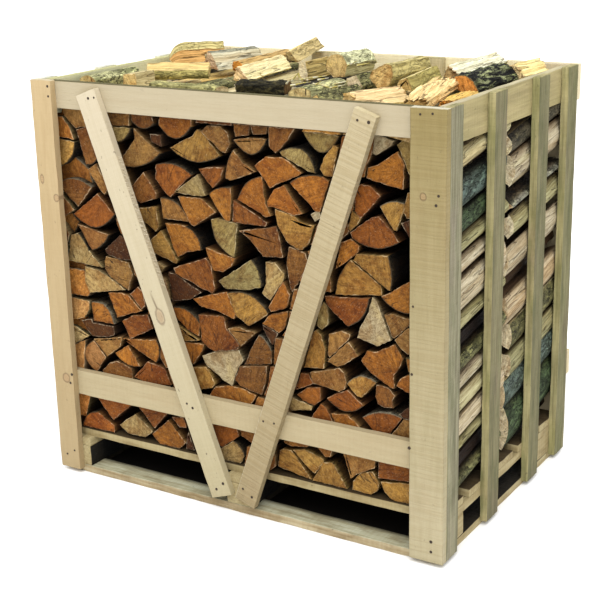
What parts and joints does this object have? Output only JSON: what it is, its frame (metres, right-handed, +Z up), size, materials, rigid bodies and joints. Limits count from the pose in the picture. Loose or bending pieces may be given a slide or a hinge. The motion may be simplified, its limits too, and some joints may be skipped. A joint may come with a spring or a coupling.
{
  "type": "pallet of firewood",
  "caption": "Slatted wooden crate on a pallet base, filled with split beech firewood: cut ends face front and back, braces cross the front, loose logs lie on top.",
  "frame": {"origin": "on the ground under the middle of the crate's outer box", "axes": "+X along the braced front to its right, +Y from the front to the back, +Z up"},
  "size_m": [1.1996, 0.8198, 1.1538],
  "materials": {
    "spruce": "sawn, pale",
    "sawn_pine": "sawn, yellowish",
    "weathered_slat": "rough, weathered",
    "pallet_wood": "rough, stained",
    "beech": "split and sawn faces with bark"
  },
  "bodies": {
    "root": {"post_front_left": "spruce", "rail_front_top": "spruce", "rail_front_low": "spruce", "brace_front_left": "spruce", "post_back_left": "spruce", "post_back_right": "spruce", "post_front_right": "sawn_pine", "brace_front_right": "sawn_pine", "rail_back_top": "sawn_pine", "rail_back_low": "sawn_pine", "slat_left_1": "weathered_slat", "slat_left_2": "weathered_slat", "slat_left_3": "weathered_slat", "slat_left_4": "weathered_slat", "slat_right_1": "weathered_slat", "slat_right_2": "weathered_slat", "slat_right_3": "weathered_slat", "slat_right_4": "weathered_slat", "rail_left_top": "weathered_slat", "rail_right_top": "weathered_slat", "slat_back_1": "weathered_slat", "slat_back_2": "weathered_slat", "foot_front": "pallet_wood", "foot_back": "pallet_wood", "foot_left": "pallet_wood", "foot_middle": "pallet_wood", "foot_right": "pallet_wood", "block_front_left": "pallet_wood", "block_front_middle": "pallet_wood", "block_front_right": "pallet_wood", "block_back_left": "pallet_wood", "block_back_middle": "pallet_wood", "block_back_right": "pallet_wood", "stringer_left": "pallet_wood", "stringer_middle": "pallet_wood", "stringer_right": "pallet_wood", "deck_1": "pallet_wood", "deck_2": "pallet_wood", "deck_3": "pallet_wood", "deck_4": "pallet_wood", "deck_5": "pallet_wood", "stack_front": "beech", "stack_back": "beech", "log_half_round": "beech", "log_striped": "beech", "log_thin": "beech", "log_split_wide": "beech", "log_upright": "beech", "log_bark_left": "beech", "log_bark_dark": "beech", "log_blunt": "beech", "log_block": "beech", "log_yellow": "beech", "log_flat_face": "beech", "log_splintered": "beech", "log_bark_thick": "beech", "log_white_split": "beech", "log_wedge": "beech", "log_orange_low": "beech", "log_rim_bark": "beech"}
  },
  "joints": []
}
